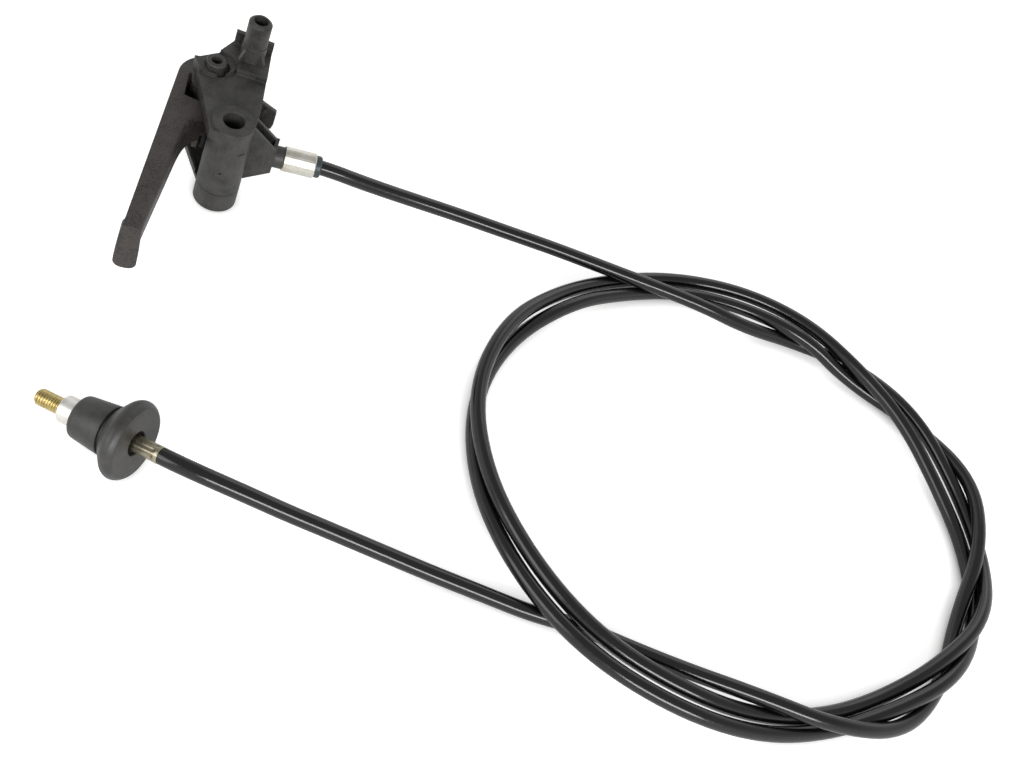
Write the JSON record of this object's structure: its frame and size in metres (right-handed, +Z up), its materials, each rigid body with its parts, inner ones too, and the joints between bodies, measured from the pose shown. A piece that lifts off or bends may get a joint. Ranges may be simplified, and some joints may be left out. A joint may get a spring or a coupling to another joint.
{
  "type": "bonnet release cable",
  "caption": "Bonnet release cable with a pull lever in a bolted plastic housing, a coiled black conduit and a threaded stud with a rubber grommet at its far end.",
  "frame": {"origin": "centre of the mounting bore's foot, on the surface that the housing stands on", "axes": "+Z up along the mounting bore, +X the way the cable leaves the housing, +Y from the mounting bore towards the locating peg"},
  "size_m": [0.3887, 0.2425, 0.0605],
  "materials": {
    "housing_plastic": "matte, fine grain",
    "lever_plastic": "matte, coarse grain",
    "cap_plastic": "satin",
    "conduit_sheath": "semi-gloss extruded",
    "grommet_rubber": "matte moulded rubber",
    "zinc": "bright zinc plate",
    "tube_steel": "pale yellow zinc plate",
    "yellow_zinc": "yellow passivated zinc",
    "wire_steel": "galvanised stranded wire"
  },
  "bodies": {
    "root": {"cover": "housing_plastic", "base_plate": "housing_plastic", "ferrule": "zinc", "conduit_cap": "cap_plastic", "conduit_lever_side": "conduit_sheath", "coil": "conduit_sheath", "conduit_far_side": "conduit_sheath", "steel_tube": "tube_steel", "sleeve": "zinc", "grommet": "grommet_rubber"},
    "lever_arm": {"lever": "lever_plastic"},
    "pull_wire": {"wire_nipple": "zinc", "inner_wire": "wire_steel"},
    "far_stud": {"stud": "yellow_zinc", "stud_wire": "wire_steel"}
  },
  "joints": [
    {"name": "lever_pull", "type": "hinge", "parent": "root", "child": "lever_arm", "pos_m": [-0.0098, 0.027, 0.022], "axis": [0, 0, -1], "range_deg": [0, 32]},
    {"name": "wire_slide", "type": "slide", "parent": "root", "child": "pull_wire", "axis": [-1, 0, 0], "range_m": [0, 0.0108]},
    {"name": "stud_slide", "type": "slide", "parent": "root", "child": "far_stud", "axis": [0.8567, -0.4555, 0.2419], "range_m": [0, 0.0108]}
  ],
  "couplings": [
    {"joint": "wire_slide", "follows": "lever_pull", "m_per_rad": 0.01922},
    {"joint": "stud_slide", "follows": "lever_pull", "m_per_rad": 0.01922}
  ]
}
